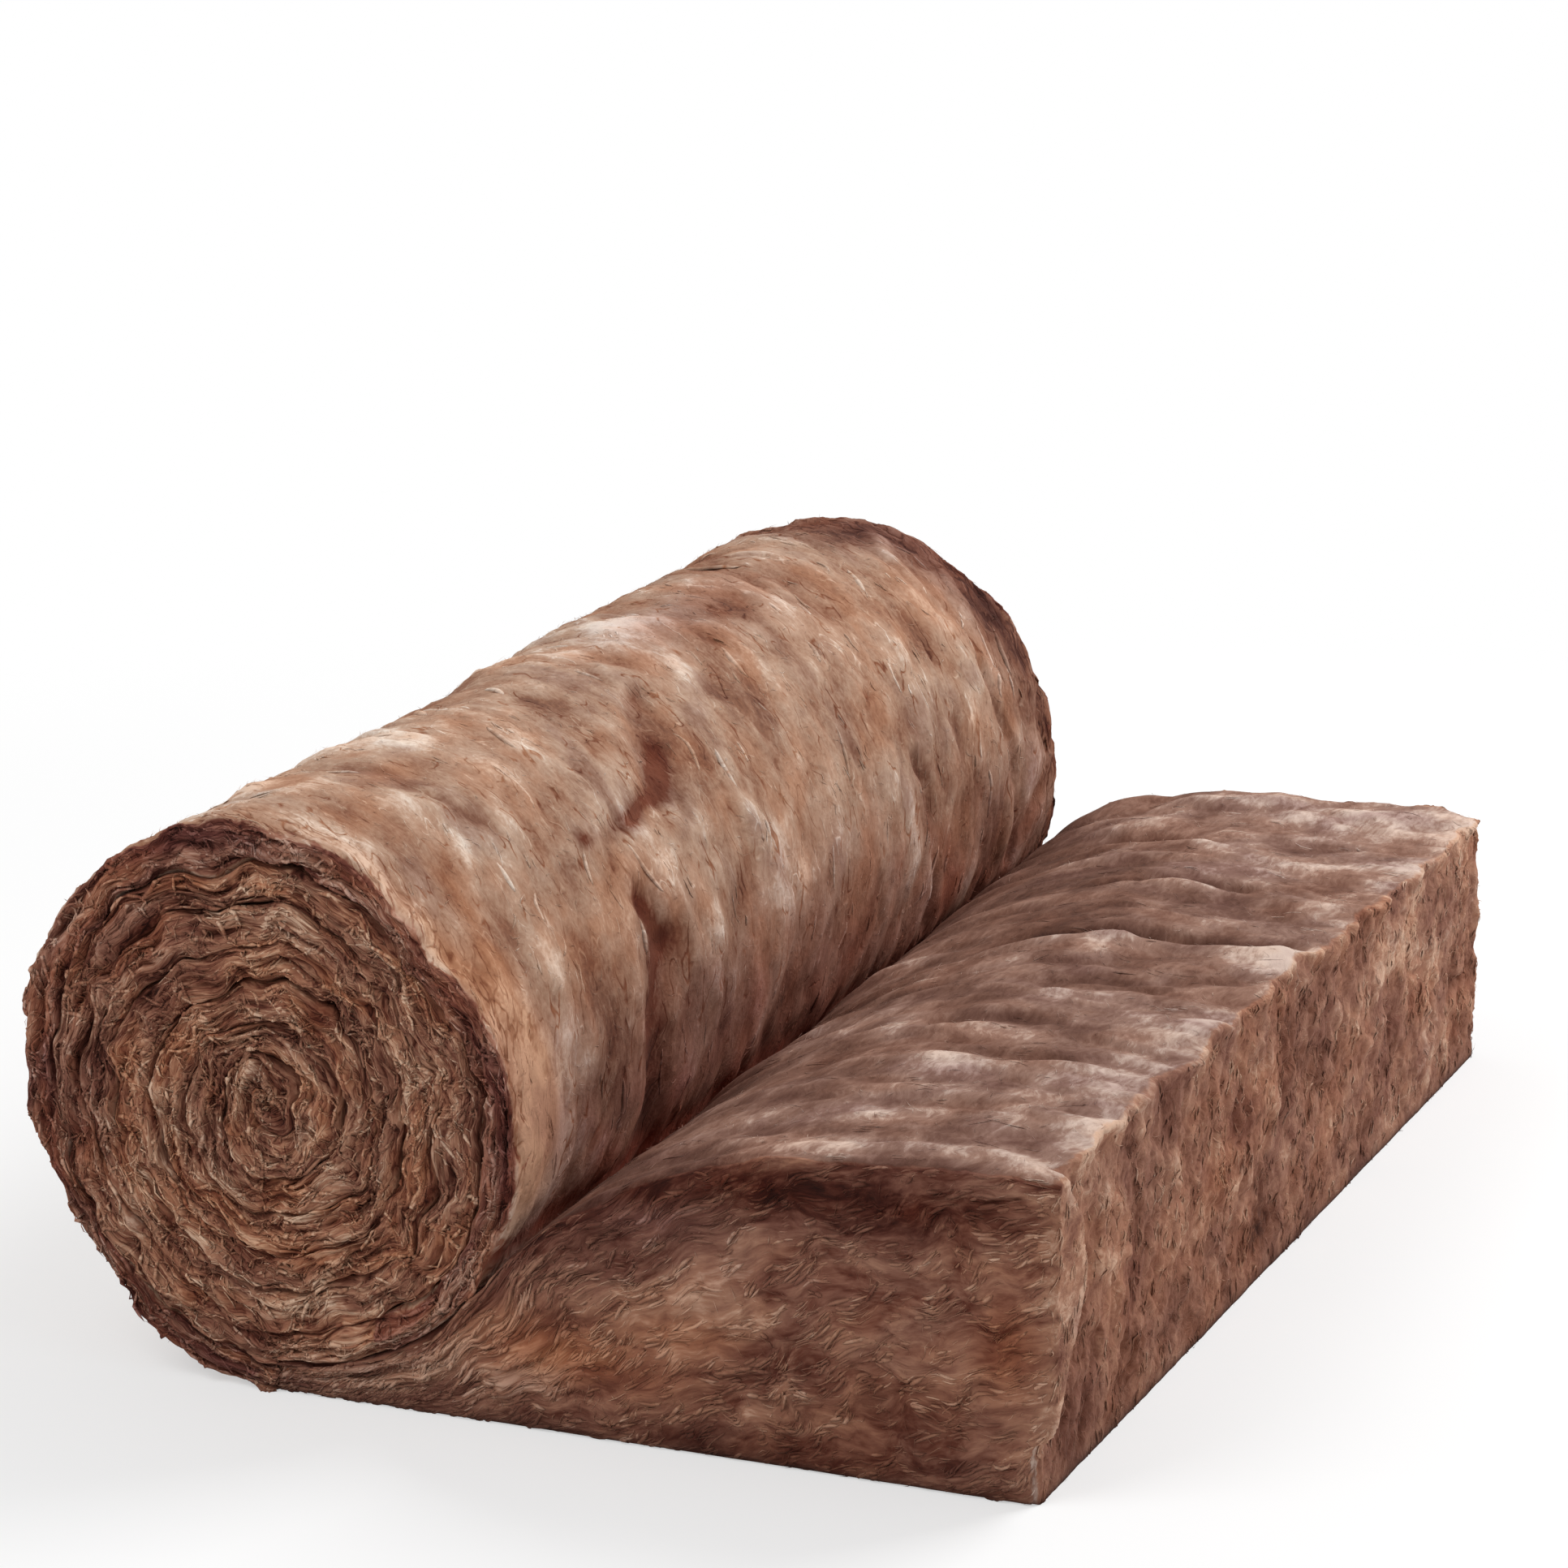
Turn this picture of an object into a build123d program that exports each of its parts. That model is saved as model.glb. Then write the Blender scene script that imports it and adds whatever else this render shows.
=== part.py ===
from build123d import *
import math
import os

# A mat of brown glass wool, sold pressed into a tight roll and here partly unrolled.
# The mat lies on the floor at its free end, runs under the roll, and climbs round it:
# up the left side, over the top, down the right side and in again above itself.
# X runs along the flat mat towards its cut end, Y across the mat, Z up.

# The mat, in millimetres
mat_width = 1200.0  # across the mat, so it is also the roll's length
mat_thickness = 247.0  # of the flat end, which has sprung back to its full loft
free_reach = 627.0  # from the roll's middle to the cut end

# The roll
roll_radius = 232.0  # of the outermost turn where it leaves the floor
pressed_thickness = 30.0  # of the mat inside the roll, so also the pitch of its turns
roll_oval = 0.03  # share by which the settled roll is longer one way than the other
oval_lean = 150.0  # degrees round from the floor, by the left side, to the longer way
floor_press = 4.0  # how far its weight flattens the underside
core_radius = 10.0  # the tight first fold of the mat, where the winding starts

# Where the mat comes out from under the roll and swells
crease_turn = 302.0  # degrees round the outermost turn to the crease
swell_length = 290.0  # along X, from the crease to where the mat is at full loft
swell_power = 2.2  # above 1: the mat springs back fast at first, then slower

# Edges and seams
rim_radius = 12.0  # soft edge round each end of the roll
mat_edge_radius = 10.0  # soft edges of the flat mat, on top and round its cut end
seam_gap = 4.0  # between one turn and the next, where they part at the ends
seam_depth = 16.0  # how far the turns have parted, in from each end
seam_run_out = 1.5  # degrees by which the seam opens into the crease

skin_step = 30.0  # degrees that each arc of the roll's skin goes round
seam_step = 45.0  # degrees that each arc of the seam goes round
swell_arcs = 4  # arcs that make up the swelling top
full_turn = 360.0


def turn_radius(turn):
    """Distance from the roll's middle to the wound surface, after so many degrees."""
    wound = roll_radius - pressed_thickness * turn / full_turn
    settled = 1 + roll_oval * math.cos(math.radians(2 * (turn - oval_lean)))
    return wound * settled


axis_height = turn_radius(0) - floor_press


def on_winding(turn, outwards=0.0):
    """A point of the wound surface: 0 is at the floor, 90 on the left, 180 on top."""
    radius = turn_radius(turn) + outwards
    angle = math.radians(turn)
    return (-radius * math.sin(angle), axis_height - radius * math.cos(angle))


def smooth_arcs(points, heading):
    """A chain of arcs through the points, each tangent to the one before it."""
    arcs = []
    for here, there in zip(points, points[1:]):
        arcs.append(TangentArc(here, there, tangent=heading))
        heading = arcs[-1] % 1
    return arcs


def winding(start, stop, step, outwards=0.0):
    """A smooth curve along the wound surface, from one turn angle to another."""
    steps = max(2, round((stop - start) / step))
    turns = [start + (stop - start) * i / steps for i in range(steps + 1)]
    before = Vector(*on_winding(start - 1))
    after = Vector(*on_winding(start + 1))
    return smooth_arcs([on_winding(turn, outwards) for turn in turns], after - before)


crease = on_winding(crease_turn)


def swell_curve():
    """Top of the mat as it springs back, from its full loft down to the crease."""
    rise = mat_thickness - crease[1]
    points = []
    for i in range(swell_arcs + 1):
        share = i / swell_arcs
        x = crease[0] + swell_length * (1 - share)
        points.append((x, mat_thickness - rise * share**swell_power))
    return smooth_arcs(points, (-1, 0))


def at_side(edge):
    """Whether an edge lies along one of the mat's two long sides."""
    return abs(abs(edge.center().Y) - mat_width / 2) < 1


def make_roll():
    """The wound part, as one body out to the skin of its outermost turn."""
    skin = winding(0, full_turn, skin_step)
    section = Plane.XZ * make_face([*skin, Line(skin[-1] @ 1, skin[0] @ 0)])
    body = extrude(section, amount=mat_width / 2, both=True)
    rims = [e for e in body.edges().filter_by(GeomType.CIRCLE) if at_side(e)]
    body = fillet(rims, rim_radius)
    room = 4 * roll_radius
    above_floor = Pos(0, 0, room / 2) * Box(room, 2 * mat_width, room)
    return body & above_floor


def make_flat_mat():
    """The part that lies flat, from under the roll to the cut end."""
    swell = swell_curve()
    inside_roll = (0, axis_height / 3)
    rest = Polyline(
        swell[-1] @ 1,
        inside_roll,
        (0, 0),
        (free_reach, 0),
        (free_reach, mat_thickness),
        swell[0] @ 0,
    )
    section = Plane.XZ * make_face([*swell, *rest.edges()])
    body = extrude(section, amount=mat_width / 2, both=True)
    soft = [
        e
        for e in body.edges()
        if (abs(e.center().X - free_reach) < 1 and e.center().Z > 1)
        or (at_side(e) and e.center().Z > crease[1] and e.center().X > crease[0] + 1)
    ]
    return fillet(soft, mat_edge_radius)


def seam_strips(side):
    """The gap that shows between the turns, sunk into one end, turn by turn."""
    last = full_turn * (roll_radius - core_radius) / pressed_thickness
    start = crease_turn - seam_run_out
    strips = []
    while start < last:
        stop = min(start + full_turn, last)
        outer = winding(start, stop, seam_step, seam_gap / 2)
        inner = winding(start, stop, seam_step, -seam_gap / 2)
        first_cap = Line(outer[0] @ 0, inner[0] @ 0)
        last_cap = Line(outer[-1] @ 1, inner[-1] @ 1)
        section = Plane.XZ * make_face([*outer, *inner, first_cap, last_cap])
        strip = extrude(section, amount=seam_depth, both=True)
        strips.append(Pos(0, side * mat_width / 2, 0) * strip)
        start = stop
    return strips


def make_mat():
    """The whole mat, with its origin on the floor under the middle of its box."""
    mat = make_roll() + make_flat_mat() - (seam_strips(-1) + seam_strips(1))
    box = mat.bounding_box()
    return Pos(-box.center().X, -box.center().Y, -box.min.Z) * mat


os.makedirs("parts", exist_ok=True)
wool_mat = make_mat()
print("solids", len(wool_mat.solids()), "size", wool_mat.bounding_box().size)
export_step(wool_mat, "parts/wool_mat.step")
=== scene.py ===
import math
import time

import bmesh
import bpy
import numpy as np
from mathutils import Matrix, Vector


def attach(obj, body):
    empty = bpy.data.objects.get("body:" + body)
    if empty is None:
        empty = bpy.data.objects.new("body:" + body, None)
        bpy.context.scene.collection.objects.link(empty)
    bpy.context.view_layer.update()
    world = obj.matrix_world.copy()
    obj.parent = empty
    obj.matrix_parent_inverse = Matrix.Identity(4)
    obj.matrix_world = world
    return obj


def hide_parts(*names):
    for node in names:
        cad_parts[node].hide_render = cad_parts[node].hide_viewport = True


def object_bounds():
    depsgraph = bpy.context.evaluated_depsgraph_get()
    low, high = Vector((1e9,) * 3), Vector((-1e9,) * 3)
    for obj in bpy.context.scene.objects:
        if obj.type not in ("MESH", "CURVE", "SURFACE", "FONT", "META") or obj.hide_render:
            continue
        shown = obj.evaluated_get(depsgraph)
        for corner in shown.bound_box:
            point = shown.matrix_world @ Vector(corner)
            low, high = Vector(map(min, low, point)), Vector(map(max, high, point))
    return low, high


startedAt = time.time()
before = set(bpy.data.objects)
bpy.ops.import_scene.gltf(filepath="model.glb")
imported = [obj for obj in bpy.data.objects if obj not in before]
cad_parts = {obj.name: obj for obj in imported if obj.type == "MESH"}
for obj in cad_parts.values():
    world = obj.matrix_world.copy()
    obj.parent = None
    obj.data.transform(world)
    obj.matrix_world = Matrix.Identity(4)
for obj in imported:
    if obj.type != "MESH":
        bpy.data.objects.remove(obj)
cadLow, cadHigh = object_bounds()

# The mat and how it is wound. Lengths are in metres, turns in degrees round the roll:
# 0 is at the floor, 90 on the left, 180 on top, and each further 360 is one turn further in.
mat = {
    "width": 1.2,
    "thickness": 0.247,  # of the free end, at full loft
    "reach": 0.627,  # from the roll's middle to the cut end
    "rollRadius": 0.232,
    "pitch": 0.030,
    "oval": 0.03,
    "lean": 150.0,
    "press": 0.004,
    "creaseTurn": 302.0,
    "swellLength": 0.290,
    "swellPower": 2.2,
}
rollX = cadHigh.x - mat["reach"]
halfWidth = mat["width"] / 2
skinPerDegree = math.radians(mat["rollRadius"])  # metres of the roll's skin in a degree of turn


def report(stage):
    print(f"{stage}: {time.time() - startedAt:.1f} s")


# Soft gradient noise from -1 to 1, with one octave, at every row of points
def woolNoise(points, seed):
    cell = np.floor(points).astype(np.int64)
    part = points - cell
    fade = part * part * part * (part * (part * 6 - 15) + 10)
    total = np.zeros(len(points))
    for corner in np.ndindex(2, 2, 2):
        at = (cell + corner).astype(np.uint64)
        key = at[:, 0] * np.uint64(73856093) ^ at[:, 1] * np.uint64(19349663)
        key = key ^ at[:, 2] * np.uint64(83492791) ^ np.uint64(seed * 2654435761)
        key = (key ^ (key >> np.uint64(13))) * np.uint64(1274126177)
        key = key ^ (key >> np.uint64(16))
        slopes = [((key >> np.uint64(shift)) & np.uint64(255)) / 127.5 - 1.0 for shift in (0, 8, 20)]
        away = part - corner
        swing = sum(slope * away[:, axis] for axis, slope in enumerate(slopes))
        weight = np.prod(np.where(corner, fade, 1 - fade), axis=1)
        total += swing * weight
    return np.clip(total * 1.6, -1, 1)


# Sharp crests between soft hollows, as where locks of fibre lie side by side
def locks(spot, seed):
    return 0.6 - 2.2 * np.abs(woolNoise(spot, seed))


# Soft bulges between sharp valleys, as wool that has puffed up on both sides of a crease
def puffs(spot, seed):
    spot[:, 2] += 0.5 * woolNoise(spot, seed)
    return 2.2 * np.abs(woolNoise(spot, seed + 3)) - 0.6


# Folds with one steep side, as a soft sheet that has slipped over itself
def folds(spot, seed):
    spot[:, 2] += 0.55 * woolNoise(spot, seed)
    return woolNoise(spot, seed)


# Several octaves of a shape: sizes are one lump's length along the mat, through it and across it
def layered(shape, coords, sizes, seed, octaves):
    total = np.zeros(len(coords))
    for octave in range(octaves):
        total += shape(coords / sizes * 2**octave, seed + octave) / 2**octave
    return total


def windRadius(turn):
    wound = np.maximum(mat["rollRadius"] - mat["pitch"] * turn / 360, 0.0)
    return wound * (1 + mat["oval"] * np.cos(np.radians(2 * (turn - mat["lean"]))))


axisHeight = float(windRadius(0.0)) - mat["press"]
lastTurn = 360 * mat["rollRadius"] / mat["pitch"]
tableTurn = np.linspace(0, lastTurn, 4000)
tableRadius = windRadius(tableTurn)
tableStep = (tableRadius[1:] + tableRadius[:-1]) / 2 * np.radians(np.diff(tableTurn))
tableLength = np.concatenate([[0.0], np.cumsum(tableStep)])

underTurn = np.linspace(360, mat["creaseTurn"], 60)
underX = -windRadius(underTurn) * np.sin(np.radians(underTurn))
underZ = axisHeight - windRadius(underTurn) * np.cos(np.radians(underTurn))
creaseX, creaseZ = underX[-1], underZ[-1]


def lengthAt(turn):
    return float(np.interp(turn, tableTurn, tableLength))


# How the roll and the flat end have settled out of true, as soft bumps:
# roll bumps are (turn, across, half width in turns, half width across, height),
# flat bumps are (along the floor, across, half width along, half width across, height)
settled = {
    "roll": [
        (58, -0.60, 28, 0.45, -0.013),
        (222, -0.60, 20, 0.30, -0.011),
        (171, -0.62, 10, 0.12, 0.007),
        (190, -0.10, 60, 0.36, -0.007),
        (225, 0.62, 60, 0.35, 0.010),
        (120, 0.30, 50, 0.40, 0.004),
    ],
    "flat": [
        (0.235, 0.65, 0.07, 0.50, 0.020),
        (0.56, 0.62, 0.22, 0.42, -0.018),
        (0.62, -0.62, 0.16, 0.30, 0.008),
        (0.40, -0.62, 0.10, 0.20, -0.004),
        (0.42, 0.10, 0.10, 0.14, 0.005),
        (0.33, -0.20, 0.08, 0.12, -0.004),
    ],
    # long dents in the skin: (turn, across) at both ends, half width and depth
    "dents": [
        ((196, -0.037), (210, -0.100), 0.018, 0.007),
        ((210, -0.100), (221, -0.154), 0.024, 0.012),
        ((221, -0.154), (222, -0.230), 0.020, 0.009),
        ((239, -0.284), (252, -0.280), 0.018, 0.008),
        ((252, -0.280), (266, -0.322), 0.024, 0.011),
        ((266, -0.322), (290, -0.325), 0.028, 0.009),
        ((246, 0.284), (290, 0.290), 0.010, 0.006),
        ((236, 0.486), (286, 0.492), 0.010, 0.006),
    ],
    # redder, darker wool in those dents, partly painted shade in the creases, as strength instead of depth
    "dentColourAndShade": [
        ((194, -0.032), (208, -0.090), 0.012, 0.8),
        ((208, -0.090), (221, -0.154), 0.016, 1.4),
        ((221, -0.154), (222, -0.222), 0.013, 1.4),
        ((222, -0.222), (221, -0.310), 0.010, 0.6),
        ((238, -0.286), (250, -0.276), 0.012, 1.0),
        ((250, -0.276), (264, -0.320), 0.016, 1.3),
        ((264, -0.320), (292, -0.325), 0.024, 1.1),
        ((246, 0.284), (290, 0.290), 0.009, 0.6),
        ((236, 0.486), (286, 0.492), 0.009, 0.5),
    ],
    # and creases in the flat mat's top: (along the floor, across)
    "creases": [
        ((0.365, 0.018), (0.477, 0.052), 0.013, 0.010),
        ((0.477, 0.052), (0.600, 0.072), 0.015, 0.013),
        ((0.395, 0.225), (0.505, 0.247), 0.014, 0.008),
        ((0.444, -0.316), (0.545, -0.309), 0.010, 0.004),
        ((0.405, -0.236), (0.480, -0.222), 0.012, 0.003),
        ((0.330, 0.420), (0.430, 0.400), 0.016, 0.009),
        ((0.470, -0.118), (0.540, -0.096), 0.010, 0.003),
    ],
}


def bumps(first, second, table):
    total = np.zeros(len(first))
    for firstMid, secondMid, firstHalf, secondHalf, height in table:
        firstOff = ((first - firstMid) / firstHalf) ** 2
        secondOff = ((second - secondMid) / secondHalf) ** 2
        total += height * np.exp(-firstOff - secondOff)
    return total


# Along each line of the table, as deep as it says and as wide on each side as its reach
def furrows(first, second, table, scale=1.0):
    total = np.zeros(len(first))
    spot = np.stack([first * scale, second], axis=1)
    for start, stop, reach, depth in table:
        a = np.array([start[0] * scale, start[1]])
        b = np.array([stop[0] * scale, stop[1]])
        share = np.clip((spot - a) @ (b - a) / ((b - a) @ (b - a)), 0, 1)
        off = np.linalg.norm(spot - a - share[:, None] * (b - a), axis=1)
        total = np.maximum(total, depth * np.exp(-((off / reach) ** 2)))
    return total


def dentDepth(turn, across):
    return furrows(turn, across, settled["dents"], skinPerDegree)


def matTop(x):
    share = np.clip((x - creaseX) / mat["swellLength"], 0, 1)
    swell = creaseZ + (mat["thickness"] - creaseZ) * (1 - (1 - share) ** mat["swellPower"])
    return np.where(x < creaseX, np.interp(x, underX, underZ), swell)


# How the plies have slipped sideways near the cut edges, so no turn is a true spiral
slip = {
    "wideSize": 0.080,  # from one wide wave to the next
    "wideShift": 0.014,
    "fineSize": 0.030,
    "fineShift": 0.0080,
    "clearance": 0.03,  # they stay in place this near to the skin
    "reachIn": 0.05,  # how deep into the mat the slipping goes
}


# Where a spot of the mat lies: along it from where it leaves the floor (the flat end is
# negative), depth from its outer skin (0) to its inner one (1), and across it
def layDown(along, depth, across):
    turn = np.interp(along, tableLength, tableTurn)
    outer = windRadius(turn)
    inner = windRadius(turn + 360)
    outermost = np.clip(1 - (turn - 300) / 30, 0, 1)
    radius = outer + (inner - outer) * depth
    uneven = (bumps(turn, across, settled["roll"]) - dentDepth(turn, across)) * outermost
    radius += uneven * (1 - np.clip(depth, 0, 1))
    angle = np.radians(turn)
    wound = along > 0
    sunk = bumps(-along, across, settled["flat"]) * np.clip((-along - creaseX) / 0.03, 0, 1)
    top = matTop(-along) + sunk
    x = np.where(wound, -radius * np.sin(angle), -along)
    z = np.where(wound, axisHeight - radius * np.cos(angle), depth * top)
    place = np.stack([x, across, z], axis=1)
    rollIn = windRadius(turn % 360) - radius
    flatIn = np.minimum(np.minimum(z, top - z), along + mat["reach"])
    loose = np.clip(np.where(wound, rollIn, flatIn) / slip["clearance"], 0, 1)
    loose *= np.exp(-np.clip(halfWidth - np.abs(across), 0, None) / slip["reachIn"])
    for axis in (0, 2):
        place[:, axis] += loose * slip["wideShift"] * woolNoise(place / slip["wideSize"], 51 + axis)
        place[:, axis] += loose * slip["fineShift"] * woolNoise(place / slip["fineSize"], 55 + axis)
    place[:, 0] += rollX
    return place


def localThickness(along):
    turn = np.interp(along, tableLength, tableTurn)
    wound = windRadius(turn) - windRadius(turn + 360)
    return np.where(along > 0, np.maximum(wound, 0.004), matTop(-along))


# The relief of each kind of face: its shape, its size along the mat, through it and
# across it, its height, octaves and seed
relief = {
    "skin": [
        (woolNoise, (0.13, 0.3, 0.085), 0.0046, 1, 21),
        (puffs, (0.080, 0.3, 0.050), 0.0024, 3, 22),
        (folds, (0.060, 0.3, 0.028), 0.0015, 3, 23),
    ],
    "top": [
        (woolNoise, (0.17, 0.3, 0.12), 0.0050, 1, 26),
        (puffs, (0.13, 0.3, 0.075), 0.0034, 2, 27),
        (folds, (0.12, 0.3, 0.060), 0.0024, 2, 29),
    ],
    "end": [
        (woolNoise, (0.050, 0.032, 0.05), 0.0072, 1, 31),
        (locks, (0.034, 0.013, 0.03), 0.0042, 3, 33),
    ],
    "side": [
        (woolNoise, (0.080, 0.045, 0.05), 0.0050, 1, 35),
        (puffs, (0.046, 0.024, 0.03), 0.0026, 3, 36),
    ],
    "cut": [
        (woolNoise, (0.06, 0.06, 0.05), 0.0048, 1, 41),
        (puffs, (0.03, 0.040, 0.022), 0.0026, 3, 43),
    ],
}
wear = {
    "reachIn": 0.022,  # how deep into the mat a face's relief dies away
    "softest": 2.2,  # the worn edges' radius runs from next to nothing to this many times the usual
    "rimRadius": 0.012,  # usual radius at the roll's rims
    "plyRadius": 0.0075,  # and of the plies further in
    "topRadius": 0.012,
    "bottomRadius": 0.006,
    "cutRadius": 0.012,
    "cutTopRadius": 0.006,
    "nipDepth": 0.003,  # of the groove where the roll meets the swollen mat
    "nipWidth": 0.012,
    "nipTurn": 4.5,  # and its width in degrees on the roll's side
    "flakes": 0.0022,  # height of the torn flakes along the roll's rims
    "rimReach": 0.045,  # and how far in from the rim they lie
    "flap": 0.011,  # how far the torn corner of the cut end stands out
    "flapHeights": [0.03, 0.06, 0.10, 0.15, 0.20, 0.23],
    "flapWidths": [-0.02, 0.018, 0.040, 0.076, 0.064, 0.036],
    "overhang": 0.010,  # how far the top skin hangs ragged over the cut faces
    "overhangHeight": 0.013,
    # painted highlight along the cut end, on top of the mat
    "paleEdge": 0.036,  # width of the pale band on top along the cut end
}
# Relief at which a hollow gets its full painted shade, or a lock that stands out its full painted light
fullHollowShade = {"edge": 0.014, "groove": 0.008, "cut": 0.013, "skin": 0.008, "top": 0.013}


def reliefOf(kind, rows, coords):
    total = np.zeros(len(coords))
    for shape, sizes, height, octaves, seed in relief[kind]:
        total[rows] += height * layered(shape, coords[rows], sizes, seed, octaves)
    return total


# How near a spot is to a face: 1 on it, and dying away over the reach
def nearness(inwards, reach):
    return np.exp(-np.clip(inwards, 0, None) / reach)


# Moves two faces' distances in from a shared edge onto a rounded corner
def roundCorner(first, second, radius):
    a = np.clip((radius - first) / radius, 0, None)
    b = np.clip((radius - second) / radius, 0, None)
    most = np.maximum(np.maximum(a, b), 1e-9)
    least = np.minimum(a, b)
    angle = math.pi / 4 * least / most
    angle = np.where(a >= b, angle, math.pi / 2 - angle)
    inside = (a > 0) & (b > 0)
    newFirst = np.where(inside, radius - radius * most * np.cos(angle), first)
    newSecond = np.where(inside, radius - radius * most * np.sin(angle), second)
    return newFirst, newSecond


# The mat's own grain: along, through the plies and across, in metres
def grainOf(along, depth, across):
    fan = np.interp(along, [0.0, 0.35], [mat["thickness"], 0.075])
    return np.stack([along, depth * fan, across], axis=1)


# How far the fibres run askew per length along the mat: across it on the rolled skin,
# and up through it at the sides of the flat end
slant = {"skin": 0.38, "side": 0.22}


def slantedGrain(grain, along):
    askew = [along * 0, slant["side"] * np.minimum(along, 0), slant["skin"] * np.maximum(along, 0)]
    return grain + np.stack(askew, axis=1)


# Marks on the roll's skin: (turn, across, half widths, strength)
skinMarks = {
    "ochre": [
        (180, -0.39, 6, 0.05, 0.9), (178, -0.272, 5, 0.03, 0.6), (194, -0.313, 6, 0.03, 0.7),
        (212, -0.503, 6, 0.018, 0.8), (221, -0.513, 6, 0.018, 0.8), (232, -0.53, 7, 0.018, 0.8),
        (195, -0.495, 7, 0.03, 0.5), (212, -0.58, 30, 0.02, 0.5), (262, -0.56, 30, 0.05, 1.5),
        (236, -0.33, 10, 0.05, 0.3), (205, 0.33, 14, 0.1, 0.4), (250, 0.02, 12, 0.08, 0.4),
    ],
    "dark": [
        (191, 0.156, 6, 0.028, 1.0), (187, 0.23, 7, 0.05, 0.5), (190, 0.58, 34, 0.05, 1.2),
        (246, 0.58, 40, 0.04, 1.2), (168, 0.33, 10, 0.1, 0.6), (183, 0.42, 8, 0.08, 0.4),
    ],
    # pale cream wool, and in places painted highlights where the skin is lit
    "creamAndHighlight": [
        (150, -0.33, 16, 0.13, 0.7), (164, -0.25, 8, 0.08, 0.6), (175, -0.292, 5, 0.03, 0.8),
        (172, -0.45, 5, 0.04, 1.1), (158, -0.52, 10, 0.06, 0.6), (206, -0.454, 7, 0.026, 1.0),
        (278, -0.545, 26, 0.07, 2.1), (214, -0.425, 6, 0.012, 0.7), (240, -0.462, 7, 0.012, 0.8),
        (167, 0.14, 8, 0.12, 1.0), (236, -0.217, 9, 0.024, 0.8), (254, -0.29, 8, 0.024, 0.6),
        (189, -0.55, 6, 0.02, 0.6), (215, -0.586, 12, 0.012, 0.6), (234, -0.586, 12, 0.012, 0.6),
    ],
    "mauve": [
        (200, 0.58, 60, 0.06, 1.0), (180, 0.2, 14, 0.16, 0.6), (280, -0.1, 20, 0.3, 0.5),
    ],
    # red-brown wool, partly painted shade
    "redWoolAndShade": [
        (216, -0.12, 10, 0.024, 0.6), (221, -0.308, 3, 0.01, 0.9), (246, -0.275, 12, 0.03, 0.6),
        (270, -0.4, 14, 0.06, 0.4), (274, -0.184, 14, 0.05, 0.5), (263, 0.393, 12, 0.04, 0.4),
    ],
}
# and on the near side: (from the roll's middle, height, half widths, strength)
sideMarks = {
    "ochre": [
        (0.015, 0.12, 0.055, 0.02, 0.7), (0.028, 0.05, 0.07, 0.016, 0.4),
        (-0.005, 0.34, 0.04, 0.02, 0.6), (-0.06, 0.3, 0.035, 0.035, 0.4),
        (0.215, 0.08, 0.07, 0.028, 0.7), (0.35, 0.095, 0.06, 0.02, 0.7), (0.28, 0.055, 0.11, 0.024, 0.7),
    ],
    "dark": [
        (0.012, 0.224, 0.014, 0.008, 1.0), (0.33, 0.214, 0.08, 0.01, 0.5),
        (0.48, 0.226, 0.11, 0.01, 0.6), (-0.15, 0.191, 0.018, 0.006, 0.9),
        (-0.145, 0.25, 0.01, 0.03, 0.6), (0.08, 0.2, 0.014, 0.035, 0.6), (0.6, 0.13, 0.022, 0.02, 0.5),
    ],
    # pale cream wool, with painted highlights in places
    "creamAndHighlight": [
        (0.02, 0.148, 0.03, 0.008, 0.9), (0.02, 0.078, 0.035, 0.011, 0.6),
        (-0.115, 0.14, 0.018, 0.04, 0.6), (0.156, 0.228, 0.012, 0.04, 0.4),
        (0.46, 0.14, 0.025, 0.008, 0.5), (0.42, 0.12, 0.02, 0.006, 0.5), (0.316, 0.18, 0.05, 0.014, 0.4),
    ],
    # red-brown wool, partly painted shade
    "redWoolAndShade": [
        (0.045, 0.312, 0.022, 0.016, 0.7), (0.25, 0.172, 0.035, 0.016, 0.6),
        (0.3, 0.202, 0.05, 0.016, 0.8), (0.4, 0.22, 0.1, 0.018, 1.0), (0.54, 0.216, 0.08, 0.022, 0.8),
        (0.4, 0.01, 0.22, 0.018, 0.6), (0.5, 0.06, 0.09, 0.03, 0.4),
    ],
    "mauve": [
        (0.316, 0.184, 0.06, 0.018, 0.9), (0.43, 0.15, 0.08, 0.016, 0.5), (-0.12, 0.36, 0.06, 0.05, 0.6),
        (-0.17, 0.21, 0.03, 0.09, 0.7), (-0.01, 0.02, 0.09, 0.03, 0.4), (0.19, 0.26, 0.025, 0.08, 0.5),
    ],
}
# How deep under the side they reach
sideReach = {"ochre": 0.05, "dark": 0.04, "creamAndHighlight": 0.04, "redWoolAndShade": 0.04, "mauve": 0.04}
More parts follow.
